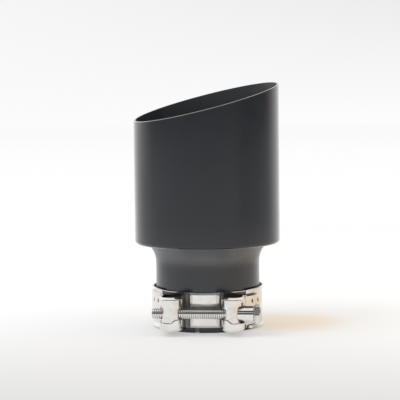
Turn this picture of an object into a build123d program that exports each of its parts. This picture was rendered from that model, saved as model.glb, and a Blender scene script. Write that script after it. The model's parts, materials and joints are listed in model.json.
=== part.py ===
from build123d import *
import math
import os

# Slash-cut exhaust tip with its screw clamp, in millimetres.
# The origin is the centre of the inlet end, +Z runs up the tube to the mouth,
# +X runs along the clamp bolt to its head, and the bolt lies on the -Y side.

# Outer shell
shell_od = 88.9
shell_wall = 1.2
shell_foot_z = 50.8
foot_roll = 2.4         # outside radius of the rolled-in lower edge
mouth_centre_z = 137.3
slash_angle = 15.0      # mouth plane against level
slash_turn = 29.0       # low point of the mouth, turned from -X towards -Y
rim_break = 0.3         # rounding of the mouth's cut edge

# Inlet neck
neck_od = 63.5
neck_wall = 1.5
flare_start_z = 39.8
flare_radius = 14.0
flare_angle = 35.0      # slope of the flare against the axis
land_bend = 4.0
land_length = 6.0       # straight lap inside the shell
weld_gap = 0.05
slit_count = 4
slit_width = 3.0
slit_length = 19.0
slit_turn = -7.0        # first slit, turned from -Y towards +X

# Clamp band, folded from one strip
strip = 1.1             # sheet thickness
seat_gap = 0.05         # between pieces that bear on each other
clamp_z = 13.1          # middle of the band, and the bolt's height
band_width = 22.4
edge_height = 2.2       # turned-out edge of the ring
edge_out = 1.1
edge_clear = 1.5        # turned-out edges start this far beyond the loop's bend, degrees
loop_inset = 1.1        # loop's edges inside the ring's edges
strap_clear = 0.1       # strap's edges inside the ring's turned-out edges
strap_corner = 4.0
left_strap_end = 106.0  # where the folded-back straps end, degrees from -Y
right_strap_end = 70.0
lap_gap = 0.15          # between the ring and the folded-back strap
gap_bend = 1.6          # inside bend between ring and loop
strap_bend = 2.6        # inside bend between loop and strap
slot_height = 10.2      # keyhole slot, where the sleeve goes through
slot_narrow = 6.7       # the same slot on the gap side, round the bolt alone
slot_wide_x = 0.4       # where the slot starts to narrow, from the pin towards the gap
slot_narrow_x = 3.1     # where it has narrowed
slot_depth = 5.4        # slot's reach behind the bolt axis
slot_corner = 2.0
clinch_angles = (55.5, 66.0)
clinch_lift = 5.0       # marks above and below the middle
clinch_width = 1.1
clinch_height = 2.2
clinch_depth = 0.5

# Bridge under the gap of the band
bridge_sheet = 0.7
bridge_width = 21.2
bridge_reach = 33.0     # end of each tongue, degrees from its own centre
bridge_raise = 0.55
raised_reach = 14.6     # edge of the raised middle, degrees from its own centre
raised_lap = 0.9        # step between tongue and raised middle, degrees
bridge_turn = 1.8       # the loose plate sits a little towards +X
bridge_lift = 0.6       # and a little above the band's middle

# Trunnions
bolt_stand_off = 9.25   # bolt axis in front of the neck's surface
pin_spacing = 36.6
pin_d = 11.0
pin_length = 18.4
pin_gap = 0.1           # pin in its loop
pin_chamfer = 0.6
flat_height = 10.8      # flat on the plain pin, where the sleeve goes in
flat_depth = 2.6

# Bolt and sleeve
bolt_d = 6.35
bolt_length = 60.0
head_seat_x = 30.5      # underside of the head
head_across_flats = 11.1
head_height = 4.4
head_crown = 0.7        # chamfer on the head's outer corners
washer_face_d = 10.4
washer_face = 0.4
tip_chamfer = 0.8
thread_gap = 0.08       # bolt in the tapped trunnion
shank_gap = 0.3         # bolt in the sleeve and in the plain trunnion
sleeve_od = 9.4
sleeve_gap = 0.2        # sleeve in its counterbore
sleeve_depth = 4.3      # how far the sleeve goes into the trunnion
sleeve_chamfer = 0.4

# Values worked out from the sizes above
shell_r = shell_od / 2
shell_bore_r = shell_r - shell_wall
neck_r = neck_od / 2
neck_bore_r = neck_r - neck_wall
bolt_reach = neck_r + bolt_stand_off
pin_x = pin_spacing / 2
loop_r = pin_d / 2 + pin_gap + strip
loop_width = band_width - 2 * loop_inset
strap_width = band_width - 2 * edge_height - 2 * strap_clear
bridge_in_r = neck_r + seat_gap
tongue_end = bridge_reach + abs(bridge_turn)
ring_shift = (bridge_sheet + seat_gap) / (1 + math.cos(math.radians(tongue_end)))
ring_in_r = neck_r + seat_gap + ring_shift
ring_out_r = ring_in_r + strip
strap_in_r = ring_out_r + lap_gap
ring_centre = (0, -ring_shift)
bolt_axis = Axis((0, -bolt_reach, clamp_z), (1, 0, 0))


def turned(shape, angle):
    return Rot(0, 0, angle) * shape


def on_bolt(x):
    return Pos(x, -bolt_reach, clamp_z) * Rot(0, 90, 0)


def round_bar(radius, start, end):
    """Cylinder on the bolt's axis, from one x to another."""
    return on_bolt(start) * extrude(Circle(radius), end - start)


def sheet_of_revolution(line, wall):
    """Tube drawn by its centre line in the XZ plane."""
    return revolve(Plane.XZ * trace(line, wall), Axis.Z)


def slash_plane():
    low = math.radians(180 + slash_turn)
    fall = math.tan(math.radians(slash_angle))
    normal = (fall * math.cos(low), fall * math.sin(low), 1)
    return Plane((0, 0, mouth_centre_z), z_dir=normal)


def outer_shell():
    middle_r = shell_r - shell_wall / 2
    foot_z = shell_foot_z + shell_wall / 2
    roll = foot_roll - shell_wall / 2
    above_mouth = mouth_centre_z + shell_r
    wall_line = FilletPolyline(
        (middle_r - foot_roll, foot_z),
        (middle_r, foot_z),
        (middle_r, above_mouth),
        radius=[roll],
    )
    sleeve = sheet_of_revolution(wall_line, shell_wall)
    sleeve = split(sleeve, slash_plane(), keep=Keep.BOTTOM)
    rim = sleeve.edges().filter_by(GeomType.ELLIPSE)
    return fillet(rim, rim_break)


def inlet_neck():
    tube_r = neck_r - neck_wall / 2
    land_r = shell_bore_r - weld_gap - neck_wall / 2
    slope = math.radians(flare_angle)
    bend = flare_radius + neck_wall / 2
    corner_z = flare_start_z + bend * math.tan(slope / 2)
    land_z = corner_z + (land_r - tube_r) / math.tan(slope)
    wall_line = FilletPolyline(
        (tube_r, 0),
        (tube_r, corner_z),
        (land_r, land_z),
        (land_r, land_z + land_length),
        radius=[bend, land_bend],
    )
    tube = sheet_of_revolution(wall_line, neck_wall)
    slit = Plane.XZ * SlotCenterPoint((0, 0), (0, slit_length - slit_width / 2), slit_width)
    cutter = extrude(slit, neck_od)
    for step in range(slit_count):
        tube -= turned(cutter, slit_turn + step * 360 / slit_count)
    return tube


def fold_bend(ring_r, wall_x, bend):
    """Bend from the ring, at radius ring_r, into the loop's wall at wall_x."""
    across = wall_x + bend
    out = math.sqrt((ring_r + bend) ** 2 - across**2)
    angle = math.degrees(math.asin(across / (ring_r + bend)))
    return (across, ring_centre[1] - out), angle


def loop_lines(strap_end):
    """Centre lines of a right-hand loop and of its folded-back strap."""
    ring_mid = ring_in_r + strip / 2
    strap_mid = strap_in_r + strip / 2
    loop_mid = loop_r - strip / 2
    near_x = pin_x - loop_mid
    far_x = pin_x + loop_mid
    near_bend = gap_bend + strip / 2
    far_bend = strap_bend + strip / 2
    near_centre, near_angle = fold_bend(ring_mid, near_x, near_bend)
    far_centre, far_angle = fold_bend(strap_mid, far_x, far_bend)
    loop = [
        CenterArc(near_centre, near_bend, 90 + near_angle, 90 - near_angle),
        Line((near_x, near_centre[1]), (near_x, -bolt_reach)),
        CenterArc((pin_x, -bolt_reach), loop_mid, 180, 180),
        Line((far_x, -bolt_reach), (far_x, far_centre[1])),
        CenterArc(far_centre, far_bend, 180, far_angle - 90),
    ]
    strap = CenterArc(ring_centre, strap_mid, far_angle - 90, strap_end - far_angle)
    return loop, strap, near_angle, far_angle


def standing(line, width):
    """Sheet strip of this width, set on edge along a line in plan."""
    return Pos(0, 0, clamp_z - width / 2) * extrude(trace(line, strip), width)


def ring_part(section, start, end):
    """Part of the ring between two angles from -Y, counted towards +X."""
    part = turned(revolve(Plane.XZ * section, Axis.Z, end - start), start - 90)
    return Pos(ring_centre[0], ring_centre[1], clamp_z) * part


def band_ring(gap_angle, edge_start):
    half = band_width / 2
    flat = half - edge_height
    edged = Polygon(
        (ring_in_r + edge_out, -half),
        (ring_out_r + edge_out, -half),
        (ring_out_r, -flat),
        (ring_out_r, flat),
        (ring_out_r + edge_out, half),
        (ring_in_r + edge_out, half),
        (ring_in_r, flat),
        (ring_in_r, -flat),
        align=None,
    )
    plain = Pos(ring_in_r + strip / 2, 0) * Rectangle(strip, band_width)
    ring = ring_part(edged, edge_start, 360 - edge_start)
    ring += ring_part(plain, gap_angle, edge_start)
    return ring + ring_part(plain, 360 - edge_start, 360 - gap_angle)


def slot_shoulder():
    """Sheet left above the slot on the gap side of a loop, where only the bolt goes through."""
    narrow = slot_narrow / 2
    wide = slot_height / 2
    top = wide + strip
    slope = (slot_narrow_x - slot_wide_x) / (wide - narrow)
    side = loop_r + 2 * strip
    front_view = Polygon(
        (-side, narrow),
        (-slot_narrow_x, narrow),
        (-slot_narrow_x + slope * (top - narrow), top),
        (-side, top),
        align=None,
    )
    return Pos(pin_x, 0, clamp_z) * extrude(Plane.XZ * front_view, 2 * bolt_reach)


def bolt_slot():
    """Keyhole slot round the front of a loop, wide for the sleeve and narrow for the bolt."""
    front = bolt_reach + loop_r + strip
    back = bolt_reach - slot_depth
    window = Rectangle(front - back, slot_height)
    corners = window.vertices().group_by(Axis.X)[-1]
    window = fillet(corners, slot_corner)
    width = 2 * loop_r + 2 * strip
    centre = Pos(pin_x - width / 2, -(front + back) / 2, clamp_z)
    slot = centre * extrude(Plane.YZ * window, width)
    slot -= slot_shoulder()
    return slot - mirror(slot_shoulder(), Plane.XY.offset(clamp_z))


def clinch_marks():
    """Small oval dents that lock a right-hand strap to the ring."""
    outer_r = strap_in_r + strip
    oval = SlotOverall(clinch_height, clinch_width, rotation=90)
    marks = []
    for angle in clinch_angles:
        for lift in (-clinch_lift, clinch_lift):
            mark = Plane.XZ * oval
            mark = Pos(0, -outer_r + clinch_depth, lift) * extrude(mark, strip)
            place = Pos(ring_centre[0], ring_centre[1], clamp_z)
            marks.append(place * turned(mark, angle))
    return marks


def band_side(strap_end):
    """One loop with its strap on the right-hand side, and where its bends meet the ring."""
    loop_line, strap_line, gap_angle, bend_angle = loop_lines(strap_end)
    loop = standing(loop_line, loop_width) - bolt_slot()
    strap = standing(strap_line, strap_width)
    strap_ends = strap.edges().filter_by(GeomType.LINE).filter_by(Axis.Z, reverse=True)
    free_ends = strap_ends.sort_by(Axis.Y)[-2:]
    strap = fillet(free_ends, strap_corner)
    for mark in clinch_marks():
        strap -= mark
    return loop + strap, gap_angle, bend_angle


def clamp_band():
    right, gap_angle, bend_angle = band_side(right_strap_end)
    left = mirror(band_side(left_strap_end)[0], Plane.YZ)
    return band_ring(gap_angle, bend_angle + edge_clear) + right + left


def sector(inner_r, sheet, reach, height):
    """Piece of a tube wall, centred on -Y and reaching the same angle each way."""
    wall = Pos(inner_r + sheet / 2, 0) * Rectangle(sheet, height)
    return turned(revolve(Plane.XZ * wall, Axis.Z, 2 * reach), -90 - reach)


def clamp_bridge():
    raised_r = bridge_in_r + bridge_raise
    tongues = sector(bridge_in_r, bridge_sheet, bridge_reach, bridge_width)
    tongues -= sector(bridge_in_r - strip, bridge_sheet + 2 * strip, raised_reach, 2 * bridge_width)
    middle = sector(raised_r, bridge_sheet, raised_reach + raised_lap, bridge_width)
    return Pos(0, 0, clamp_z + bridge_lift) * turned(tongues + middle, bridge_turn)


def trunnion(x):
    pin = Cylinder(pin_d / 2, pin_length)
    pin = chamfer(pin.edges().filter_by(GeomType.CIRCLE), pin_chamfer)
    return Pos(x, -bolt_reach, clamp_z) * pin


def threaded_trunnion():
    tapped_r = bolt_d / 2 + thread_gap
    return trunnion(-pin_x) - round_bar(tapped_r, -pin_x - pin_d, -pin_x + pin_d)


def sleeve_seat_x():
    return pin_x + pin_d / 2 - sleeve_depth


def plain_trunnion():
    clear_r = bolt_d / 2 + shank_gap
    bore_r = sleeve_od / 2 + sleeve_gap
    pin = trunnion(pin_x) - round_bar(clear_r, pin_x - pin_d, pin_x + pin_d)
    flat_x = pin_x + pin_d / 2 - flat_depth
    pin -= Pos(flat_x + pin_d / 2, -bolt_reach, clamp_z) * Box(pin_d, 2 * pin_d, flat_height)
    return pin - round_bar(bore_r, sleeve_seat_x(), pin_x + pin_d)


def spacer_sleeve():
    start = sleeve_seat_x() + seat_gap
    end = head_seat_x - seat_gap
    tube = round_bar(sleeve_od / 2, start, end)
    tube = chamfer(tube.edges().filter_by(GeomType.CIRCLE), sleeve_chamfer)
    return tube - round_bar(bolt_d / 2 + shank_gap, start, end)


def clamp_bolt():
    shank = round_bar(bolt_d / 2, head_seat_x - bolt_length, head_seat_x)
    tip = shank.edges().filter_by(GeomType.CIRCLE).sort_by(Axis.X)[0]
    shank = chamfer(tip, tip_chamfer)
    # A corner of the head faces -Y, so its flats lie level at top and bottom.
    flat_to_flat = RegularPolygon(head_across_flats / 2, 6, major_radius=False, rotation=90)
    head_start = head_seat_x + washer_face
    head = on_bolt(head_start) * extrude(flat_to_flat, head_height - washer_face)
    corner_r = head_across_flats / math.sqrt(3)
    crown = round_bar(corner_r, head_start, head_seat_x + head_height)
    outer = crown.edges().filter_by(GeomType.CIRCLE).sort_by(Axis.X)[-1]
    head &= chamfer(outer, head_crown)
    face = round_bar(washer_face_d / 2, head_seat_x, head_start)
    return shank + face + head


pieces = {
    "outer_shell": outer_shell,
    "inlet_neck": inlet_neck,
    "clamp_band": clamp_band,
    "clamp_bridge": clamp_bridge,
    "threaded_trunnion": threaded_trunnion,
    "plain_trunnion": plain_trunnion,
    "spacer_sleeve": spacer_sleeve,
    "clamp_bolt": clamp_bolt,
}

os.makedirs("parts", exist_ok=True)
for name, make in pieces.items():
    export_step(make(), f"parts/{name}.step")
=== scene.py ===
import json
import math

import bmesh
import bpy
from mathutils import Matrix, Vector


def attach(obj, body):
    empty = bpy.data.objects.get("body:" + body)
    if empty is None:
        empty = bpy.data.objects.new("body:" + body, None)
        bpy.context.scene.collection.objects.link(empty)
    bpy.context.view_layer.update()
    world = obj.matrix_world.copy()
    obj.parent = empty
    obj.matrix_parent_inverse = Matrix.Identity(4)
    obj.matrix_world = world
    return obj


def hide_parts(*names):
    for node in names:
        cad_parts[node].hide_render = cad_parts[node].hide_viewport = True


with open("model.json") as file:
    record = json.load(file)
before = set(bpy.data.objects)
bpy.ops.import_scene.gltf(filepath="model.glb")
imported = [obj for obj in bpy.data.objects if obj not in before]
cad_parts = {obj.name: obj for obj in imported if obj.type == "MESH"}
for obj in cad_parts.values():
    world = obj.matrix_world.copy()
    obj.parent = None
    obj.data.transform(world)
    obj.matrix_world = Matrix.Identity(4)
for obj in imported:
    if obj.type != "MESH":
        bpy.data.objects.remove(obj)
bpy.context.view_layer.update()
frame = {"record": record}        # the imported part: bodies, nodes, joints and record
mm = 0.001
clampZ = 13.1            # middle of the clamp, and the bolt's height, in mm
boltReach = 41.0         # bolt axis in front of the tube's axis
pinX = 18.3              # trunnions left and right of the middle
bodyOf = {node: body for body, nodes in frame["record"]["behaviour"]["bodies"].items() for node in nodes}


# Node trees: Wire is one socket with arithmetic, Finish makes the nodes
class Wire:
    def __init__(self, finish, socket):
        self.finish = finish
        self.socket = socket

    def math(self, operation, first, second):
        return self.finish.node("ShaderNodeMath", {"operation": operation}, {0: first, 1: second})

    def __add__(self, other):
        return self.math("ADD", self, other)

    def __radd__(self, other):
        return self.math("ADD", other, self)

    def __sub__(self, other):
        return self.math("SUBTRACT", self, other)

    def __rsub__(self, other):
        return self.math("SUBTRACT", other, self)

    def __mul__(self, other):
        return self.math("MULTIPLY", self, other)

    def __rmul__(self, other):
        return self.math("MULTIPLY", other, self)

    def __truediv__(self, other):
        return self.math("DIVIDE", self, other)

    def __rtruediv__(self, other):
        return self.math("DIVIDE", other, self)

    def raised(self, low, high, toLow=0.0, toHigh=1.0):
        inputs = {"Value": self, "From Min": low, "From Max": high, "To Min": toLow, "To Max": toHigh}
        return self.finish.node("ShaderNodeMapRange", {"interpolation_type": "SMOOTHSTEP"}, inputs)


class Finish:
    def __init__(self, tree):
        self.tree = tree
        tree.nodes.clear()

    def node(self, kind, settings=None, inputs=None, output=0):
        made = self.tree.nodes.new(kind)
        for key, value in (settings or {}).items():
            setattr(made, key, value)
        for key, value in (inputs or {}).items():
            if isinstance(value, Wire):
                self.tree.links.new(value.socket, made.inputs[key])
            else:
                made.inputs[key].default_value = value
        if not made.outputs:
            return made
        return Wire(self, made.outputs[output])

    def outputs(self, kind, keys, inputs=None):
        made = self.node(kind, inputs=inputs).socket.node
        return [Wire(self, made.outputs[key]) for key in keys]

    def split(self, vector):
        return self.outputs("ShaderNodeSeparateXYZ", "XYZ", {0: vector})

    # Rays straight from the camera, and rays by way of a mirror or through glass
    def rays(self):
        keys = ("Is Camera Ray", "Is Glossy Ray", "Is Transmission Ray")
        camera, glossy, through = self.outputs("ShaderNodeLightPath", keys)
        mirror = glossy + through
        return camera, mirror.math("MINIMUM", mirror, 1.0)

    def where(self):
        return self.node("ShaderNodeTexCoord", output="Object")

    def stretched(self, stretch):
        return self.node("ShaderNodeMapping", inputs={"Vector": self.where(), "Scale": stretch})

    def vector(self, operation, inputs, output="Vector"):
        return self.node("ShaderNodeVectorMath", {"operation": operation}, inputs, output)

    def noise(self, where, scale, detail, rough=0.55):
        inputs = {"Vector": where, "Scale": scale, "Detail": detail, "Roughness": rough}
        return self.node("ShaderNodeTexNoise", inputs=inputs)

    def mixed(self, factor, first, second):
        settings = {"data_type": "RGBA", "blend_type": "MIX"}
        return self.node("ShaderNodeMix", settings, {0: factor, 6: first, 7: second}, output=2)

    # Heights are in metres
    def bump(self, height):
        return self.node("ShaderNodeBump", inputs={"Height": height, "Distance": 1.0, "Strength": 1.0})


plainWhite = (1, 1, 1, 1)


def newMaterial(name):
    material = bpy.data.materials.new(name)
    material.use_nodes = True
    return material, Finish(material.node_tree)


def shade(made, inputs):
    surface = made.node("ShaderNodeBsdfPrincipled", inputs=inputs)
    made.node("ShaderNodeOutputMaterial", inputs={"Surface": surface})


# Satin black coat, thinner and lighter on the mouth's cut edge, which also paints a highlight line there, and
# lighter and duller on the neck's flare as a painted highlight
coat = {
    "shell": {
        "deep": (0.0055, 0.0075, 0.0115, 1), "dusty": (0.0085, 0.0105, 0.0145, 1),
        "rough": (0.14, 0.2), "ior": 1.56, "sheen": 1.0,
        "wearAndHighlight": (0.06, 0.062, 0.065, 1), "wearAndHighlightRough": -0.1,
    },
    "neck": {
        "deep": (0.0055, 0.0075, 0.0115, 1), "dusty": (0.0085, 0.0105, 0.0145, 1),
        "rough": (0.14, 0.2), "ior": 1.62, "sheen": 1.0,
        "wearAndHighlight": (0.084, 0.085, 0.088, 1), "wearAndHighlightRough": 0.2,
    },
    "inside": {
        "deep": (0.026, 0.028, 0.032, 1), "dusty": (0.034, 0.036, 0.04, 1),
        "rough": (0.42, 0.52), "ior": 1.5, "sheen": 0.0,
    },
    "wearAndHighlightPatches": (0.2, 0.6, 0.55, 1.0),    # the lighter masked coat is patchy
    "cloud": 38.0,                    # soft patches, per metre
    "patch": (0.38, 0.68),
    "roughPatch": (0.3, 0.7),
    "peel": 1500.0,                   # orange peel of the coat
    "peelDepth": 0.000012,
    "grit": 5200.0,
    "gritDepth": 0.000006,
    "gritRough": 0.08,
    "sheenRough": 0.26,               # a narrow glow where the coat is seen at a low angle
}


def coatMaterial(name, kind, wearAndHighlightMask=None):
    material, made = newMaterial(name)
    values = coat[kind]
    where = made.where()
    cloud = made.noise(where, coat["cloud"], 4)
    peel = made.noise(where, coat["peel"], 2)
    grit = made.noise(where, coat["grit"], 2)
    colour = made.mixed(cloud.raised(*coat["patch"]), values["deep"], values["dusty"])
    rough = cloud.raised(*coat["roughPatch"], *values["rough"]) + (grit - 0.5) * coat["gritRough"]
    # Where the mask says, the coat is lighter: worn thin on the mouth's cut edge, where it also paints a
    # highlight line, and a painted highlight on the neck's flare
    if wearAndHighlightMask:
        wearAndHighlightShare = wearAndHighlightMask(made) * cloud.raised(*coat["wearAndHighlightPatches"])
        colour = made.mixed(wearAndHighlightShare, colour, values["wearAndHighlight"])
        rough = rough + wearAndHighlightShare * values["wearAndHighlightRough"]
    height = peel * coat["peelDepth"] + grit * coat["gritDepth"]
    shade(made, {
        "Base Color": colour,
        "Roughness": rough,
        "IOR": values["ior"],
        "Sheen Weight": values["sheen"],
        "Sheen Roughness": coat["sheenRough"],
        "Normal": made.bump(height),
    })
    return material


# Stainless steel, by how it was worked: the grain says which way its fine lines run
steel = {
    "bright": (0.80, 0.785, 0.76),
    "dull": (0.67, 0.655, 0.635),
    "rootShade": (0.09, 0.085, 0.075, 1),
    "rootShadeRough": 0.25,
    "handling": 90.0,                 # smears from handling, per metre
    "pits": 3200.0,
    "pitShare": 0.4,
    "soft": (0.32, 0.7),
    "smear": (0.42, 0.66),
    "dullShares": (0.55, 0.35),       # what grain and smears take off the colour
    "roughShares": (0.6, 0.4),        # and add to the roughness
    "rolled": {"grain": (60, 60, 5200), "rough": (0.10, 0.21), "depth": 0.0000016},
    "turned": {"grain": (5200, 60, 60), "rough": (0.06, 0.12), "depth": 0.0000012},
    "tumbled": {"grain": (900, 900, 900), "rough": (0.18, 0.3), "depth": 0.000004},
    "forged": {"grain": (2600, 500, 500), "rough": (0.17, 0.27), "depth": 0.000003},
    "shaded": {"grain": (300, 300, 2600), "rough": (0.4, 0.5), "depth": 0.000004},
}


def steelMaterial(name, kind, tone=1.0, rootShadeMask=None):
    material, made = newMaterial(name)
    values = steel[kind]
    where = made.where()
    lines = made.noise(made.stretched(values["grain"]), 1.0, 4, 0.6)
    handling = made.noise(where, steel["handling"], 3)
    pits = made.noise(where, steel["pits"], 2)
    soft = lines.raised(*steel["soft"])
    smear = handling.raised(*steel["smear"])
    bright, dull = ([part * tone for part in steel[key]] + [1] for key in ("bright", "dull"))
    byGrain, bySmear = steel["dullShares"]
    colour = made.mixed(soft * byGrain + smear * bySmear, bright, dull)
    low, high = values["rough"]
    byGrain, bySmear = steel["roughShares"]
    rough = low + (high - low) * (soft * byGrain + smear * bySmear)
    # Painted shade where the mask says: darker and rougher, as down in the thread roots
    if rootShadeMask:
        rootShade = rootShadeMask(made)
        colour = made.mixed(rootShade, colour, steel["rootShade"])
        rough = rough + rootShade * steel["rootShadeRough"]
    height = lines * values["depth"] + pits * (values["depth"] * steel["pitShare"])
    shade(made, {
        "Base Color": colour,
        "Metallic": 1.0,
        "Roughness": rough,
        "Normal": made.bump(height),
    })
    return material


# Meshes: points are in millimetres until they reach the mesh, angles in degrees
creases = {"sharpFrom": 38.0, "bevelFrom": 42.0, "bevelSteps": 3}


def newPiece(name, node, materials, points, faces, bevel=None, paint=None):
    mesh = bpy.data.meshes.new(name)
    mesh.from_pydata([[value * mm for value in point] for point in points], [], faces)
    tidy = bmesh.new()
    tidy.from_mesh(mesh)
    bmesh.ops.recalc_face_normals(tidy, faces=tidy.faces)
    tidy.to_mesh(mesh)
    tidy.free()
    mesh.shade_smooth()
    mesh.set_sharp_from_angle(angle=math.radians(creases["sharpFrom"]))
    for material in materials:
        mesh.materials.append(material)
    if paint:
        mesh.polygons.foreach_set("material_index", paint)
    piece = bpy.data.objects.new(name, mesh)
    bpy.context.scene.collection.objects.link(piece)
    if bevel:
        edge = piece.modifiers.new("edge", "BEVEL")
        edge.limit_method = "ANGLE"
        edge.angle_limit = math.radians(creases["bevelFrom"])
        edge.width = bevel * mm
        edge.segments = creases["bevelSteps"]
        edge.harden_normals = True
    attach(piece, bodyOf[node])
    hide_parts(node)
    print("made", name, len(mesh.polygons), "faces")


# A sheet wall: columns of (outside, inside) point pairs, with some cells of the grid left open
def thinWall(columns, closed=False, openCells=()):
    points, faces, marks, index = [], [], [], {}

    def spot(i, j, side):
        key = (i % len(columns), j, side)
        if key not in index:
            index[key] = len(points)
            points.append(columns[key[0]][j][side])
        return index[key]

    edges = {}
    for i in range(len(columns) if closed else len(columns) - 1):
        for j in range(len(columns[0]) - 1):
            if (i, j) in openCells:
                continue
            ring = [(i, j), (i + 1, j), (i + 1, j + 1), (i, j + 1)]
            faces.append([spot(*corner, 0) for corner in ring])
            faces.append([spot(*corner, 1) for corner in reversed(ring)])
            marks += [(i, j, 0), (i, j, 1)]
            for k in range(4):
                first, second = ring[k], ring[(k + 1) % 4]
                key = ((first[0] % len(columns), first[1]), (second[0] % len(columns), second[1]))
                edges[key] = (first, second)
    for key, (first, second) in edges.items():
        if (key[1], key[0]) not in edges:
            faces.append([spot(*second, 0), spot(*first, 0), spot(*first, 1), spot(*second, 1)])
            marks.append((first[0], first[1], None))
    return points, faces, marks


# Points round a corner of a centre line, with the line's normal at each
def bendLine(corners, steps):
    line = []
    for k, (spot, radius) in enumerate(corners):
        spot = Vector(spot)
        before = Vector(corners[k - 1][0]) if k else None
        after = Vector(corners[k + 1][0]) if k + 1 < len(corners) else None
        if before is None or after is None:
            way = (after - spot) if before is None else (spot - before)
            line.append((spot, Vector((way.y, -way.x)).normalized()))
            continue
        comeIn = (spot - before).normalized()
        goOut = (after - spot).normalized()
        turn = math.atan2(comeIn.x * goOut.y - comeIn.y * goOut.x, comeIn.dot(goOut))
        reach = radius * math.tan(abs(turn) / 2)
        side = 1 if turn < 0 else -1
        startNormal = Vector((comeIn.y, -comeIn.x))
        centre = spot - comeIn * reach + startNormal * radius * side
        for step in range(steps + 1):
            part = turn * step / steps
            normal = Matrix.Rotation(part, 2) @ startNormal
            line.append((centre - normal * radius * side, normal))
    return line


def round3(angle, radius, z):
    return (radius * math.cos(angle), radius * math.sin(angle), z)


# Outer shell: rolled-in foot, straight wall, mouth cut on the slant
shell = {
    "radius": 44.45, "wall": 1.2, "foot": 50.8, "roll": 2.4, "mouth": 137.3,
    "slash": 15.0, "slashTurn": 29.0, "rim": 0.3, "sides": 288, "rows": 10,
    "rollSteps": 10, "rowBias": 1.5, "wearAndHighlight": (-0.5, -0.1),
}


def slashDirection():
    low = math.radians(180 + shell["slashTurn"])
    fall = math.tan(math.radians(shell["slash"]))
    return fall * math.cos(low), fall * math.sin(low)


def mouthHeight(x, y):
    fallX, fallY = slashDirection()
    return shell["mouth"] - fallX * x - fallY * y


# Worn thin and lighter along the mouth's cut edge, which also paints a highlight line there
def cutEdgeWearAndHighlightMask(made):
    fallX, fallY = slashDirection()
    axis = Vector((fallX, fallY, 1))
    above = made.vector("DOT_PRODUCT", {0: made.where(), 1: axis}, "Value")
    return above.raised(*((shell["mouth"] + depth) * mm for depth in shell["wearAndHighlight"]))


def makeShell():
    half = shell["wall"] / 2
    middle = shell["radius"] - half
    footZ = shell["foot"] + half
    lip = ((middle - shell["roll"], footZ), 0)
    corner = ((middle, footZ), shell["roll"] - half)
    upward = ((middle, shell["mouth"]), 0)    # only says which way the wall goes on
    line = bendLine([lip, corner, upward], shell["rollSteps"])[:-1]
    columns = []
    for k in range(shell["sides"]):
        angle = 2 * math.pi * k / shell["sides"]
        column = []
        for spot, normal in line:
            out, inside = spot + normal * half, spot - normal * half
            column.append((round3(angle, *out), round3(angle, *inside)))
        start = line[-1][0].y
        for row in range(1, shell["rows"] + 1):
            share = 1 - (1 - row / shell["rows"]) ** shell["rowBias"]
            pair = []
            for radius in (middle + half, middle - half):
                x, y, _ = round3(angle, radius, 0)
                pair.append((x, y, start + (mouthHeight(x, y) - start) * share))
            column.append(tuple(pair))
        columns.append(column)
    materials = [
        coatMaterial("satin_black_shell", "shell", cutEdgeWearAndHighlightMask),
        coatMaterial("dull_black_inside", "inside"),
    ]
    points, faces, marks = thinWall(columns, closed=True)
    paint = [int(side == 1) for _, _, side in marks]
    newPiece("slash_cut_shell", "outer_shell", materials, points, faces, shell["rim"], paint)


# Inlet neck: slit end, straight tube, bell flare and the land inside the shell
neck = {
    "radius": 31.75, "wall": 1.5, "flareZ": 39.8, "flareRadius": 14.0, "flareAngle": 35.0,
    "landRadius": 43.2, "landBend": 4.0, "landLength": 6.0,
    "slits": 4, "slitWidth": 3.0, "slitLength": 19.0, "slitTurn": -7.0,
    "slitSteps": 10, "wallSteps": 50, "lowRows": 6, "archRows": 4, "overSlit": 4.0, "bendSteps": 14,
    "edge": 0.25, "flareHighlight": (36.5, 45.0),
}


# Painted highlight: a lighter, duller coat on the neck's flare
def flareHighlightMask(made):
    _, _, up = made.split(made.where())
    return up.raised(*(height * mm for height in neck["flareHighlight"]))


def neckAngles():
    quarter = 2 * math.pi / neck["slits"]
    reach = neck["slitWidth"] / 2 / neck["radius"]
    angles = []
    for k in range(neck["slits"]):
        middle = math.radians(neck["slitTurn"] - 90) + k * quarter
        for step in range(neck["slitSteps"]):
            off = -math.cos(math.pi * step / neck["slitSteps"])
            angles.append((middle + reach * off, off))
        for step in range(neck["wallSteps"]):
            share = step / neck["wallSteps"]
            angles.append((middle + reach + (quarter - 2 * reach) * share, None if step else 1.0))
    return angles


def makeNeck():
    half = neck["wall"] / 2
    tube = neck["radius"] - half
    land = neck["landRadius"] - half
    slope = math.radians(neck["flareAngle"])
    bend = neck["flareRadius"] + half
    cornerZ = neck["flareZ"] + bend * math.tan(slope / 2)
    landZ = cornerZ + (land - tube) / math.tan(slope)
    topZ = landZ + neck["landLength"]
    line = bendLine([
        ((tube, neck["slitLength"] + neck["overSlit"]), 0), ((tube, cornerZ), bend),
        ((land, landZ), neck["landBend"]), ((land, topZ), 0),
    ], neck["bendSteps"])
    slitRadius = neck["slitWidth"] / 2
    shoulder = neck["slitLength"] - slitRadius
    columns, openCells = [], set()
    for i, (angle, off) in enumerate(neckAngles()):
        arch = shoulder
        if off is not None:
            arch += slitRadius * math.sqrt(max(0.0, 1 - off * off))
        heights = [shoulder * row / neck["lowRows"] for row in range(neck["lowRows"])]
        rows = neck["archRows"]
        heights += [arch + (line[0][0].y - arch) * row / rows for row in range(rows)]
        column = [(round3(angle, tube + half, z), round3(angle, tube - half, z)) for z in heights]
        for spot, normal in line:
            column.append((round3(angle, *(spot + normal * half)), round3(angle, *(spot - normal * half))))
        columns.append(column)
        if off is not None and off < 1:
            openCells.update((i, row) for row in range(neck["lowRows"]))
    material = coatMaterial("satin_black_neck", "neck", flareHighlightMask)
    points, faces, _ = thinWall(columns, closed=True, openCells=openCells)
    newPiece("flared_neck", "inlet_neck", [material], points, faces, neck["edge"])


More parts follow.
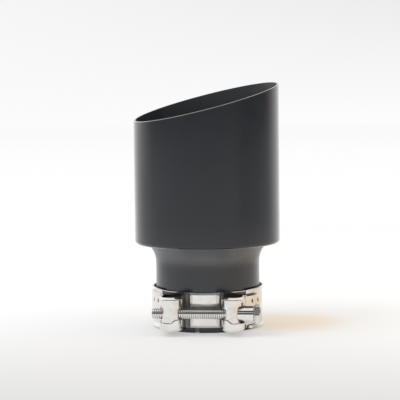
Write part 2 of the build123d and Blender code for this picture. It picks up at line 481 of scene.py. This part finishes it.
# Clamp band: one folded strip, from strap end to strap end
band = {
    "strip": 1.1, "seatGap": 0.05, "width": 22.4, "bevel": 0.22,
    "edgeHeight": 1.8, "edgeSoft": 0.35, "edgeOut": 1.1, "edgeMore": 0.6, "edgeFade": (48.0, 53.0),
    "loopWidth": 20.2, "rimHeight": 1.5, "rimBend": 0.6, "rimShare": 0.3, "pinRadius": 5.5, "pinGap": 0.1,
    "gapBend": 1.6, "strapBend": 2.6, "foldCurl": (-30.5, -36.5),
    "strapTaper": (-35.6, -27.0), "strapCurl": 0.15,
    "strapWidth": 17.8, "strapCorner": 4.0, "strapEnds": {"left": 106.0, "right": 70.0}, "lapGap": 0.15,
    "slotHalf": 5.1, "boltSlotHalf": 3.35, "wideX": 0.4, "narrowX": 3.1, "slotBack": 5.4, "slotCorner": 2.0,
    "clinchAngles": (55.5, 66.0), "clinchLift": 4.7, "clinchWidth": 1.6, "clinchHeight": 3.0,
    "clinchDepth": 0.7, "clinchSlope": 0.45, "clinchShown": 0.4, "clinchTone": 0.2,
    "insideShadeTone": 0.18, "shadedTo": 48.5, "shadedLift": 3.0, "brightEdge": 0.4,
    "ringSteps": 84, "bendSteps": 10, "loopSteps": 56, "edgeRows": 26, "middleRows": 6, "middleShare": 0.4,
    "slotSteps": (6, 4),              # round the slot's corner, then along its side
    "wallSteps": (5, 10),             # up the loop's near wall and down its far one
    "strapStep": 2, "cornerSteps": 8, "clinchSteps": 8, "clinchStep": 0.2, "leastStep": 0.05,
}
bridge = {
    "sheet": 0.7, "width": 21.2, "reach": 33.0, "spare": 1.8, "raise": 0.55, "raisedReach": 14.6,
    "lap": 3.2, "turn": 1.3, "lift": 0.6, "rimHeight": 1.15, "rimBend": 0.6, "rimShare": 0.5,
    "brightFrom": 0.85, "tongueShadeTone": 0.42, "steps": 110, "rows": 40, "bevel": 0.15,
}
tongueEnd = math.radians(bridge["reach"] + bridge["spare"])
ringShift = (bridge["sheet"] + band["seatGap"]) / (1 + math.cos(tongueEnd))
ringInside = neck["radius"] + band["seatGap"] + ringShift


def smooth(low, high, value):
    share = min(1.0, max(0.0, (value - low) / (high - low)))
    return share * share * (3 - 2 * share)


def arcPath(centre, radius, start, end, count, facing):
    path = []
    for k in range(count + 1):
        turn = math.radians(start + (end - start) * k / count)
        way = Vector((math.cos(turn), math.sin(turn)))
        path.append((Vector(centre) + way * radius, way * facing))
    return path


def straightPath(x, ys, facing):
    return [(Vector((x, y)), Vector((facing, 0))) for y in ys]


def foldBend(ringRadius, wallX, bend):
    across = wallX + bend
    out = math.sqrt((ringRadius + bend) ** 2 - across**2)
    return (across, -ringShift - out), math.degrees(math.asin(across / (ringRadius + bend)))


# The keyhole slot: wide for the trunnion's seat, narrow for the bolt
def slotHalfAt(spot):
    wide, narrow, corner = band["slotHalf"], band["boltSlotHalf"], band["slotCorner"]
    share = (spot.x - pinX + band["narrowX"]) / (band["narrowX"] - band["wideX"])
    share = min(1.0, max(0.0, share))
    half = narrow + (wide - narrow) * (share + smooth(0, 1, share)) / 2
    into = spot.y + boltReach - (band["slotBack"] - corner)
    if into > 0:
        half = min(half, wide - corner + math.sqrt(max(0.0, corner**2 - into**2)))
    return half


# Closer together at the clinch marks and round the strap's end
def strapAngles(start, end):
    angles = {start, end}
    angles.update(range(math.ceil(start), int(end), band["strapStep"]))
    reach = band["clinchSteps"]
    for middle in band["clinchAngles"]:
        angles.update(middle + k * band["clinchStep"] for k in range(-reach, reach + 1))
    corner = math.degrees(band["strapCorner"] / ringInside)
    count = band["cornerSteps"]
    angles.update(end - corner * (1 - math.sin(k * math.pi / (2 * count))) for k in range(count))
    ordered = sorted(angles)
    return [ordered[0]] + [b for a, b in zip(ordered, ordered[1:]) if b - a > band["leastStep"]]


# Half of the strip's middle line, from behind the neck to the strap's end
def bandStations(strapEnd):
    strip = band["strip"]
    ringMiddle = ringInside + strip / 2
    strapMiddle = ringInside + strip + band["lapGap"] + strip / 2
    loopMiddle = band["pinRadius"] + band["pinGap"] + strip / 2
    nearX, farX = pinX - loopMiddle, pinX + loopMiddle
    nearBend, farBend = band["gapBend"] + strip / 2, band["strapBend"] + strip / 2
    nearCentre, nearAngle = foldBend(ringMiddle, nearX, nearBend)
    farCentre, farAngle = foldBend(strapMiddle, farX, farBend)
    slotY = band["slotBack"] - boltReach
    corner = band["slotCorner"]
    turns, sides = band["slotSteps"]
    slotYs = [slotY - corner * (1 - math.cos(math.pi / 2 * k / turns)) for k in range(turns + 1)]
    cornerY = slotYs[-1]
    slotYs += [cornerY + (-boltReach - cornerY) * k / sides for k in range(1, sides + 1)]
    near, far = band["wallSteps"]
    nearYs = [nearCentre[1] + (slotY - nearCentre[1]) * k / near for k in range(1, near)]
    farYs = [slotY + (farCentre[1] - slotY) * k / far for k in range(1, far)]
    zones = [
        ("ring", arcPath((0, -ringShift), ringMiddle, 90, nearAngle - 90, band["ringSteps"], 1)[1:]),
        ("fold", arcPath(nearCentre, nearBend, 90 + nearAngle, 180, band["bendSteps"], -1)[1:]),
        ("fold", straightPath(nearX, nearYs, 1)),
        ("slot", straightPath(nearX, slotYs, 1)),
        ("slot", arcPath((pinX, -boltReach), loopMiddle, 180, 360, band["loopSteps"], -1)[1:-1]),
        ("slot", straightPath(farX, reversed(slotYs), -1)),
        ("back", straightPath(farX, farYs, -1)),
        ("back", arcPath(farCentre, farBend, 180, 90 + farAngle, band["bendSteps"], 1)[:-1]),
    ]
    strap = []
    for angle in strapAngles(farAngle, strapEnd):
        turn = math.radians(angle - 90)
        way = Vector((math.cos(turn), math.sin(turn)))
        strap.append((Vector((0, -ringShift)) + way * strapMiddle, -way))
    zones.append(("strap", strap))
    return [(zone, spot, normal) for zone, path in zones for spot, normal in path]


# A turned-out edge starts softly, then runs on straight
def plateLift(height, flat, rise):
    share = max(0.0, height - flat)
    soft = band["edgeSoft"] * rise
    return (share * share / (2 * soft) if share < soft else share - soft / 2) / (rise - soft / 2)


# A sheet's rim bends quickly to half a right angle, then runs on straight
def rimDrop(over, bend):
    start = bend * math.sqrt(0.5)
    if over <= 0:
        return 0.0
    if over < start:
        return bend - math.sqrt(bend * bend - over * over)
    return bend - start + over - start


def clinchDent(angle, z):
    dent = 0.0
    for middle in band["clinchAngles"]:
        across = math.radians(angle - middle) * ringInside * 2 / band["clinchWidth"]
        up = (abs(z) - band["clinchLift"]) * 2 / band["clinchHeight"]
        dent = max(dent, smooth(0.0, band["clinchSlope"], 1 - math.hypot(across, up)))
    return dent


def bandAngle(spot):
    return math.degrees(math.atan2(spot.x, -spot.y - ringShift))


def bandColumn(zone, spot, normal, side):
    ringHalf, loopHalf, strapHalf = (band[key] / 2 for key in ("width", "loopWidth", "strapWidth"))
    angle = bandAngle(spot)
    half, flare, curl = loopHalf, 0.0, 1.0
    middle = band["slotHalf"] - band["slotCorner"]
    if zone == "ring":
        half, curl = ringHalf, 0.0
        flare = band["edgeOut"] * smooth(*band["edgeFade"], angle)
    elif zone == "fold":
        curl = smooth(*band["foldCurl"], spot.y)
        half = ringHalf + (loopHalf - ringHalf) * curl
    elif zone == "slot":
        middle = slotHalfAt(spot)
    else:
        taper = smooth(*band["strapTaper"], spot.y)
        half = loopHalf + (strapHalf - loopHalf) * taper
        curl = 1 + (band["strapCurl"] - 1) * taper
    if zone == "strap":
        left = math.radians(band["strapEnds"][side] - angle) * ringInside
        corner = band["strapCorner"]
        if left < corner:
            half -= corner - math.sqrt(max(0.0, corner**2 - (corner - left) ** 2))
        middle = min(middle, half * band["middleShare"])    # rows stay in order where the end narrows
    edge, inner = band["edgeRows"], band["middleRows"]
    heights = [-half + (half - middle) * j / edge for j in range(edge)]
    heights += [-middle + 2 * middle * j / inner for j in range(inner)]
    heights += [middle + (half - middle) * j / edge for j in range(edge + 1)]
    column = []
    for z in heights:
        rise = plateLift(abs(z), half - band["edgeHeight"], band["edgeHeight"])
        lift = flare * rise
        rim = curl * rimDrop(abs(z) - half + band["rimHeight"], band["rimBend"])
        dent = clinchDent(angle, z) * band["clinchDepth"] if zone == "strap" else 0.0
        more = math.copysign(band["edgeMore"] * lift / band["edgeOut"], z)
        pair = []
        for offset in (band["strip"] / 2 + band["rimShare"] * rim, dent + rim - band["strip"] / 2):
            at = spot + normal * (lift + offset)
            pair.append((-at.x if side == "left" else at.x, at.y, clampZ + z + more))
        column.append(tuple(pair))
    return column


def makeBand():
    columns, zones, angles = [], [], []
    for side, end in band["strapEnds"].items():
        stations = bandStations(end)
        for zone, spot, normal in reversed(stations) if side == "left" else stations:
            columns.append(bandColumn(zone, spot, normal, side))
            zones.append(zone)
            angles.append(bandAngle(spot))
    edge, inner = band["edgeRows"], band["middleRows"]
    openCells = set()
    for i in range(len(zones) - 1):
        if zones[i] == zones[i + 1] == "slot":
            openCells.update((i, j) for j in range(edge, edge + inner))
    points, faces, marks = thinWall(columns, openCells=openCells)
    # Painted shade: the inside and the ring behind the loops, up to a bright edge, get a darker steel
    paint = []
    brightFrom = clampZ + band["width"] / 2 - band["brightEdge"]
    shadedFrom = clampZ + band["shadedLift"]
    for i, j, side in marks:
        shown = 0
        if zones[i] == "ring" and side == 1:
            shown = 1
        elif zones[i] == "ring" and side == 0 and angles[i] < band["shadedTo"]:
            shown = int(columns[i][j][0][2] < brightFrom)
        elif zones[i] != "ring" and side == 0:
            shown = int(columns[i][j][0][2] > shadedFrom)
        elif zones[i] == "strap" and side == 1:
            z = (columns[i][j][1][2] + columns[i][j + 1][1][2]) / 2 - clampZ
            if clinchDent((angles[i] + angles[i + 1]) / 2, z) > band["clinchShown"]:
                shown = 2
        paint.append(shown)
    materials = [
        steelMaterial("rolled_steel_band", "rolled"),
        steelMaterial("band_inside_painted_shade", "shaded", band["insideShadeTone"]),
        steelMaterial("clinch_mark", "shaded", band["clinchTone"]),
    ]
    newPiece("folded_band", "clamp_band", materials, points, faces, band["bevel"], paint)


# Bridge: thin plate under the gap, with a raised middle
def makeBridge():
    half = bridge["sheet"] / 2
    inside = neck["radius"] + band["seatGap"] + half
    columns, shares = [], []
    for k in range(bridge["steps"] + 1):
        angle = bridge["reach"] * (2 * k / bridge["steps"] - 1)
        start = bridge["raisedReach"]
        share = 1 - smooth(start, start + bridge["lap"], abs(angle))
        shares.append(share)
        turn = math.radians(angle + bridge["turn"] - 90)
        column = []
        for row in range(bridge["rows"] + 1):
            z = bridge["width"] * (row / bridge["rows"] - 0.5)
            rim = share * rimDrop(abs(z) - bridge["width"] / 2 + bridge["rimHeight"], bridge["rimBend"])
            radius = inside + share * bridge["raise"]
            height = clampZ + bridge["lift"] + z
            out, back = radius + half - rim, radius - half - bridge["rimShare"] * rim
            column.append((round3(turn, out, height), round3(turn, back, height)))
        columns.append(column)
    points, faces, marks = thinWall(columns)
    # Painted shade: the tongue beyond the raised middle, and the plate's underside, get a darker steel
    paint = [int(shares[i] <= bridge["brightFrom"] or side == 1) for i, _, side in marks]
    materials = [
        steelMaterial("rolled_steel_bridge", "rolled"),
        steelMaterial("bridge_tongue_painted_shade", "shaded", bridge["tongueShadeTone"]),
    ]
    newPiece("gap_bridge", "clamp_bridge", materials, points, faces, bridge["bevel"], paint)


# Trunnions: barrels on end, each with a cross hole for the bolt
pin = {
    "radius": 5.5, "length": 18.4, "chamfer": 0.6, "tapped": 3.255, "clear": 3.475,
    "seatBore": 4.9, "seatX": 1.2, "flatHalf": 5.4, "flatX": 2.6, "flatDish": 0.06, "flatStep": 0.02,
    "holeSteps": 14, "wallSteps": 10, "lowRows": 4, "rows": 8, "bevel": 0.18,
}


def placed(x, angle, radius, z):
    return (x + radius * math.cos(angle), -boltReach + radius * math.sin(angle), clampZ + z)


def holeColumns(hole, middle):
    count = pin["holeSteps"]
    spots = []
    for k in range(count + 1):
        side = -hole * math.cos(math.pi * k / count)
        angle = math.asin(side / pin["radius"])
        height = math.sqrt(max(0.0, hole * hole - side * side)) if 0 < k < count else 0.0
        spots.append((angle if middle > 0 else math.pi + angle, height))
    return spots


def makeTrunnion(name, node, x, plusHole, minusHole, seat):
    plus = holeColumns(plusHole, 1)
    minus = holeColumns(minusHole, -1)
    spots = []
    for hole, following, wrap in ((plus, minus, 0), (minus, plus, 2 * math.pi)):
        spots += hole
        gapStart, gapEnd = hole[-1][0], following[0][0] + wrap
        for k in range(1, pin["wallSteps"]):
            spots.append((gapStart + (gapEnd - gapStart) * k / pin["wallSteps"], 0.0))
    points, faces = [], []

    def add(*point):
        points.append(point)
        return len(points) - 1

    top = pin["length"] / 2
    straight = top - pin["chamfer"]
    ledge = pin["flatHalf"]
    flatEnd = ledge + pin["flatStep"]
    sheets = {1: [], -1: []}
    for angle, height in spots:
        for way in (1, -1):
            column = []
            for row in range(pin["rows"] + 1):
                low = row <= pin["lowRows"]
                if low:
                    z = height + (ledge - height) * row / pin["lowRows"]
                else:
                    share = (row - pin["lowRows"] - 1) / (pin["rows"] - pin["lowRows"] - 1)
                    z = flatEnd + (straight - flatEnd) * share
                if way < 0 and row == 0 and height == 0:
                    column.append(sheets[1][-1][0])
                    continue
                across, along, up = placed(x, angle, pin["radius"], z * way)
                if seat and low:
                    across = min(across, x + pin["flatX"] + pin["flatDish"] * z * z)
                column.append(add(across, along, up))
            column.append(add(*placed(x, angle, pin["radius"] - pin["chamfer"], top * way)))
            sheets[way].append(column)
    count = len(spots)
    for way, columns in sheets.items():
        for i in range(count):
            here, there = columns[i], columns[(i + 1) % count]
            for j in range(len(here) - 1):
                faces.append([here[j], there[j], there[j + 1], here[j + 1]])
        faces.append([column[-1] for column in columns])

    def rim(start):
        last = start + pin["holeSteps"]
        upper = [sheets[1][i][0] for i in range(start, last + 1)]
        lower = [sheets[-1][i][0] for i in range(last - 1, start, -1)]
        return upper + lower

    loops = [rim(0)]
    if seat:
        for hole in (plusHole, minusHole):
            loop = []
            for k in range(2 * pin["holeSteps"]):
                turn = math.pi * k / pin["holeSteps"]
                loop.append(add(x + seat, -boltReach - hole * math.cos(turn), clampZ + hole * math.sin(turn)))
            loops.append(loop)
    far = rim(pin["holeSteps"] + pin["wallSteps"])
    steps = pin["holeSteps"]
    loops.append([far[(steps - k) % (2 * steps)] for k in range(2 * steps)])
    for first, second in zip(loops, loops[1:]):
        for k in range(len(first)):
            after = (k + 1) % len(first)
            faces.append([first[k], first[after], second[after], second[k]])
    material = steelMaterial("tumbled_steel_" + name, "tumbled")
    newPiece(name, node, [material], points, faces, pin["bevel"])


# Turned pieces on the bolt's axis: rows of (x, radius), where either may depend on the angle
def turnedPoints(rows, sides, closed):
    points, faces = [], []
    for x, radius in rows:
        for k in range(sides):
            angle = 2 * math.pi * k / sides
            along = x(angle) if callable(x) else x
            out = radius(angle) if callable(radius) else radius
            points.append((along, -boltReach + out * math.cos(angle), clampZ + out * math.sin(angle)))
    for i in range(len(rows) if closed else len(rows) - 1):
        for k in range(sides):
            near, far = i * sides, (i + 1) % len(rows) * sides
            after = (k + 1) % sides
            faces.append([near + k, near + after, far + after, far + k])
    if not closed:
        faces.append(list(range(sides)))
        faces.append([(len(rows) - 1) * sides + k for k in range(sides)])
    return points, faces


# Spacer sleeve
sleeve = {
    "radius": 4.7, "bore": 3.475, "start": 19.55, "end": 30.45,
    "round": 0.45, "steps": 5, "sides": 96, "bevel": 0.12,
}


def makeSleeve():
    rows = [(sleeve["start"], sleeve["bore"])]
    turn = sleeve["round"]
    for x, way, order in ((sleeve["start"], 1, range(sleeve["steps"], -1, -1)),
                          (sleeve["end"], -1, range(sleeve["steps"] + 1))):
        for k in order:
            part = math.pi / 2 * k / sleeve["steps"]
            along, inward = turn * (1 - math.sin(part)), turn * (1 - math.cos(part))
            rows.append((x + way * along, sleeve["radius"] - inward))
    rows.append((sleeve["end"], sleeve["bore"]))
    material = steelMaterial("turned_steel_sleeve", "turned")
    points, faces = turnedPoints(rows, sleeve["sides"], closed=True)
    newPiece("sleeve_tube", "spacer_sleeve", [material], points, faces, sleeve["bevel"])


# Clamp bolt: rolled thread, washer face and hex head
bolt = {
    "crest": 3.15, "root": 2.55, "crestShare": 0.35, "pitch": 1.27, "perPitch": 16,
    "threadEnd": 22.0, "runOut": 2,    # the thread fades out over this many pitches
    "tipX": -29.5, "tipRadius": 2.4, "tipSlope": 0.9, "tipFace": 0.6, "tipEdge": 0.15,
    "seatX": 30.5, "shank": 3.1, "washerRadius": 4.9, "washer": 0.4, "washerEdge": 0.1, "underBevel": 0.6,
    "acrossFlats": 11.1, "head": 4.4, "crown": 1.8, "crownSlope": 0.7, "crownEdge": 0.12, "faceShare": 0.3,
    "cornerRound": 0.12, "sides": 96, "headTone": 0.9,
    "rootShade": (2.6, 2.9, 0.15, 0.0), "rootShadeFrom": (-29.2, -28.8),
}


def threadRadius(x, angle):
    phase = ((x - bolt["tipX"]) / bolt["pitch"] - angle / (2 * math.pi)) % 1.0
    deep = smooth(bolt["crestShare"], 1.0, abs(phase - 0.5) * 2)
    radius = bolt["crest"] - (bolt["crest"] - bolt["root"]) * deep
    runOut = smooth(bolt["threadEnd"] - bolt["runOut"] * bolt["pitch"], bolt["threadEnd"], x)
    radius += (bolt["shank"] - radius) * runOut
    return min(radius, bolt["tipRadius"] + (x - bolt["tipX"]) * bolt["tipSlope"])


def hexRadius(angle):
    flat = bolt["acrossFlats"] / 2
    sector = angle % (math.pi / 3) - math.pi / 6
    return min(flat / math.cos(sector), flat / math.cos(math.pi / 6) - bolt["cornerRound"])


# Painted shade, a little darker down in the thread roots, but not on the bolt's end
def threadRootShade(made):
    where = made.where()
    middle = Vector((0, -boltReach, clampZ)) * mm
    away = made.vector("SUBTRACT", {0: where, 1: middle})
    flat = made.vector("MULTIPLY", {0: away, 1: (0, 1, 1)})
    out = made.vector("LENGTH", {0: flat}, "Value")
    along, _, _ = made.split(where)
    low, high, deep, none = bolt["rootShade"]
    start, end = bolt["rootShadeFrom"]
    return out.raised(low * mm, high * mm, deep, none) * along.raised(start * mm, end * mm)


def threadRow(x):
    return lambda angle: threadRadius(x, angle)


def makeBolt():
    step = bolt["pitch"] / bolt["perPitch"]
    count = round((bolt["threadEnd"] - bolt["tipX"]) / step)
    tipX, tipRadius = bolt["tipX"], bolt["tipRadius"]
    rows = [(tipX, tipRadius * bolt["tipFace"]), (tipX, tipRadius - bolt["tipEdge"])]
    rows += [(tipX + step * k, threadRow(tipX + step * k)) for k in range(1, count + 1)]
    seat, end = bolt["seatX"], bolt["seatX"] + bolt["head"]
    under = seat + bolt["washer"]
    corner = bolt["acrossFlats"] / math.sqrt(3)
    faceRadius = corner - bolt["crown"]
    washerRadius, washerEdge = bolt["washerRadius"], bolt["washerEdge"]

    def crownX(angle):
        over = max(0.0, hexRadius(angle) - faceRadius)
        return end - bolt["crownEdge"] - over * bolt["crownSlope"]

    rows += [
        (seat, bolt["shank"]),
        (seat, washerRadius - washerEdge),
        (seat + washerEdge, washerRadius),
        (under, washerRadius),
        (under, lambda angle: hexRadius(angle) - bolt["underBevel"]),
        (under + bolt["underBevel"], hexRadius),
        (crownX, hexRadius),
        (end, lambda angle: min(hexRadius(angle), faceRadius) - bolt["crownEdge"]),
        (end, bolt["acrossFlats"] * bolt["faceShare"]),
    ]
    materials = [
        steelMaterial("turned_steel_bolt", "turned", 1.0, threadRootShade),
        steelMaterial("forged_head", "forged", bolt["headTone"]),
    ]
    points, faces = turnedPoints(rows, bolt["sides"], closed=False)
    headFrom = seat - washerEdge
    paint = [int(min(points[k][0] for k in face) > headFrom) for face in faces]
    newPiece("hex_bolt", "clamp_bolt", materials, points, faces, paint=paint)


# Stage: one wide pale floor, white far off, with the part's soft shadow near by; in metres
stage = {
    "reach": 9.0, "floor": 0.86, "tube": (0.030, 0.0325),
    "seenMix": (0.1, 1.0, 0.42, 1.0), "mirrorMix": (0.1, 1.0, 0.4, 1.0), "mirrorFrom": (0.1, 0.3),
    "seenNear": (-0.37, 0.12, 0.66, 1.0), "seenFar": (0.8, 6.0, 1.0, 0.955),
    "frontDim": (0.3, 0.85, 0.15, 0.0), "rightDim": (0.72, 0.92, 0.0, 0.22),
    "warmSide": (0.0, 0.13), "warmFrom": (0.095, 0.12), "warmTo": (0.14, 0.22, 0.85, 0.0),
    "warm": (1.0, 0.77, 0.55, 1),
    "warmPoolAt": (0.05, 0.01, 0.0), "warmPoolReach": (0.012, 0.05, 1.0, 0.0), "glow": (1.0, 0.89, 0.75, 1),
}


def makeFloor():
    mesh = bpy.data.meshes.new("floor")
    reach = stage["reach"]
    corners = [(-reach, -reach, 0), (reach, -reach, 0), (reach, reach, 0), (-reach, reach, 0)]
    mesh.from_pydata(corners, [], [(0, 1, 2, 3)])
    floor = bpy.data.objects.new("floor", mesh)
    bpy.context.scene.collection.objects.link(floor)
    material, made = newMaterial("pale_floor")
    where = made.where()
    across, away, _ = made.split(where)
    distance = made.vector("LENGTH", {0: where}, "Value")
    camera, mirror = made.rays()
    mix = camera * distance.raised(*stage["seenMix"]) + mirror * distance.raised(*stage["mirrorMix"])
    white = distance.raised(*stage["tube"]) * mix
    # Seen straight, the floor greys a little towards the viewer and far off
    seenTone = away.raised(*stage["seenNear"]) * away.raised(*stage["seenFar"])
    plainTone = 1.0 + camera * (seenTone - 1.0)
    # Mirrored, it is a little dimmer in front and on the right
    dimmed = (away / distance).raised(*stage["frontDim"]) + (across / distance).raised(*stage["rightDim"])
    mirrorTone = 1.0 - distance.raised(*stage["mirrorFrom"]) * dimmed
    tone = plainTone + mirror * (mirrorTone - 1.0)
    # Painted light: a warm patch seen only in mirrors, and a warm pool of light painted on the floor beside
    # the clamp
    warm = across.raised(*stage["warmSide"]) * distance.raised(*stage["warmFrom"])
    warm = warm * distance.raised(*stage["warmTo"]) * mirror
    nearWarmPool = made.vector("DISTANCE", {0: where, 1: stage["warmPoolAt"]}, "Value")
    tint = made.mixed(warm, plainWhite, stage["warm"])
    tint = made.mixed(nearWarmPool.raised(*stage["warmPoolReach"]), tint, stage["glow"])
    mattTint = made.vector("SCALE", {0: tint, "Scale": plainTone * stage["floor"]})
    matt = made.node("ShaderNodeBsdfDiffuse", inputs={"Color": mattTint})
    glow = made.node("ShaderNodeEmission", inputs={"Color": tint, "Strength": tone})
    both = made.node("ShaderNodeMixShader", inputs={0: white, 1: matt, 2: glow})
    made.node("ShaderNodeOutputMaterial", inputs={"Surface": both})
    mesh.materials.append(material)


# Surroundings: a plain pale light, but in mirrors a room that is dim in front, with one lighter line across
room = {
    "plain": 1.0, "left": (-0.8, -0.2, 0.15, 0.0), "frontTurn": 0.2, "front": (0.1, 0.75, 1.0, 0.0),
    "dim": 0.94, "dimFrom": (-0.06, 0.0), "dimSlope": (-0.35, 0.1, 0.0, 0.4), "dimTo": (0.77, 0.88, 1.0, 0.0),
    "line": 0.45, "lineFrom": (0.32, 0.38), "lineTo": (0.53, 0.6, 1.0, 0.0),
    "shown": 0.96, "shownUp": 0.5, "shownAcross": 3.2, "shownMiddle": 0.244,
    "warm": (1.0, 0.9, 0.8, 1), "warmFrom": (0.35, 0.9), "warmTo": (0.2, 0.5, 1.0, 0.0),
}


def makeRoom():
    world = bpy.data.worlds.new("room")
    bpy.context.scene.world = world
    world.use_nodes = True
    made = Finish(world.node_tree)
    plain = room["plain"]
    across, away, up = made.split(made.node("ShaderNodeTexCoord", output="Generated"))
    camera, mirror = made.rays()
    front = (away - across * room["frontTurn"]).raised(*room["front"])
    dim = up.raised(*room["dimFrom"]) * (up + away.raised(*room["dimSlope"])).raised(*room["dimTo"])
    line = up.raised(*room["lineFrom"]) * up.raised(*room["lineTo"])
    level = plain + across.raised(*room["left"])
    level = level * (1.0 - front * dim * room["dim"]) + front * line * room["line"]
    # What the camera sees behind the part greys upwards, more so on the right
    shown = room["shown"] - up * room["shownUp"] - (across + room["shownMiddle"]) * up * room["shownAcross"]
    strength = plain + camera * (shown - plain) + mirror * (level - plain)
    right = across.raised(*room["warmFrom"]) * up.raised(*room["warmTo"]) * mirror
    tint = made.mixed(right, plainWhite, room["warm"])
    glow = made.node("ShaderNodeBackground", inputs={"Color": tint, "Strength": strength})
    made.node("ShaderNodeOutputWorld", inputs={"Surface": glow})


# Lamps: a broad key from the upper left and a small warm one from the right
lampAim = Vector((0.03, 0, 0.01))
lamps = [
    {"name": "key", "at": (-0.9, -0.45, 1.2), "size": 0.9, "watts": 8.0, "colour": (1, 1, 1)},
    {"name": "warm_fill", "at": (0.45, -0.05, 0.2), "size": 0.2, "watts": 0.45, "colour": (1.0, 0.66, 0.34)},
]


def makeLamps():
    for lamp in lamps:
        data = bpy.data.lights.new(lamp["name"], "AREA")
        data.size = lamp["size"]
        data.energy = lamp["watts"]
        data.color = lamp["colour"]
        made = bpy.data.objects.new(lamp["name"], data)
        bpy.context.scene.collection.objects.link(made)
        made.location = lamp["at"]
        aim = lampAim - made.location
        made.rotation_euler = aim.to_track_quat("-Z", "Y").to_euler()
        made.visible_camera = False
        made.visible_glossy = False


# Camera, as the photograph was taken: distances in mm, turns in degrees
view = {
    "distance": 796.2, "height": 133.7, "around": 5.1, "aside": 0.31, "down": 4.07, "roll": -0.62,
    "sensor": 36.0, "lens": 117.0,
}


def makeCamera():
    data = bpy.data.cameras.new("camera")
    data.sensor_width = view["sensor"]
    data.lens = view["lens"]
    camera = bpy.data.objects.new("camera", data)
    bpy.context.scene.collection.objects.link(camera)
    around = Matrix.Rotation(math.radians(view["around"]), 4, "Z")
    spot = Matrix.Translation(Vector((0, -view["distance"], view["height"])) * mm)
    aside = Matrix.Rotation(math.radians(view["aside"]), 4, "Z")
    down = Matrix.Rotation(math.radians(90 - view["down"]), 4, "X")
    roll = Matrix.Rotation(math.radians(view["roll"]), 4, "Z")
    camera.matrix_world = around @ spot @ aside @ down @ roll
    bpy.context.scene.camera = camera


makeShell()
makeNeck()
makeBand()
makeBridge()
makeTrunnion("tapped_trunnion", "threaded_trunnion", -pinX, pin["tapped"], pin["tapped"], 0)
makeTrunnion("bored_trunnion", "plain_trunnion", pinX, pin["seatBore"], pin["clear"], pin["seatX"])
makeSleeve()
makeBolt()
makeFloor()
makeRoom()
makeLamps()
makeCamera()
bpy.context.scene.view_settings.view_transform = "Standard"
print("stage, light and camera are set")
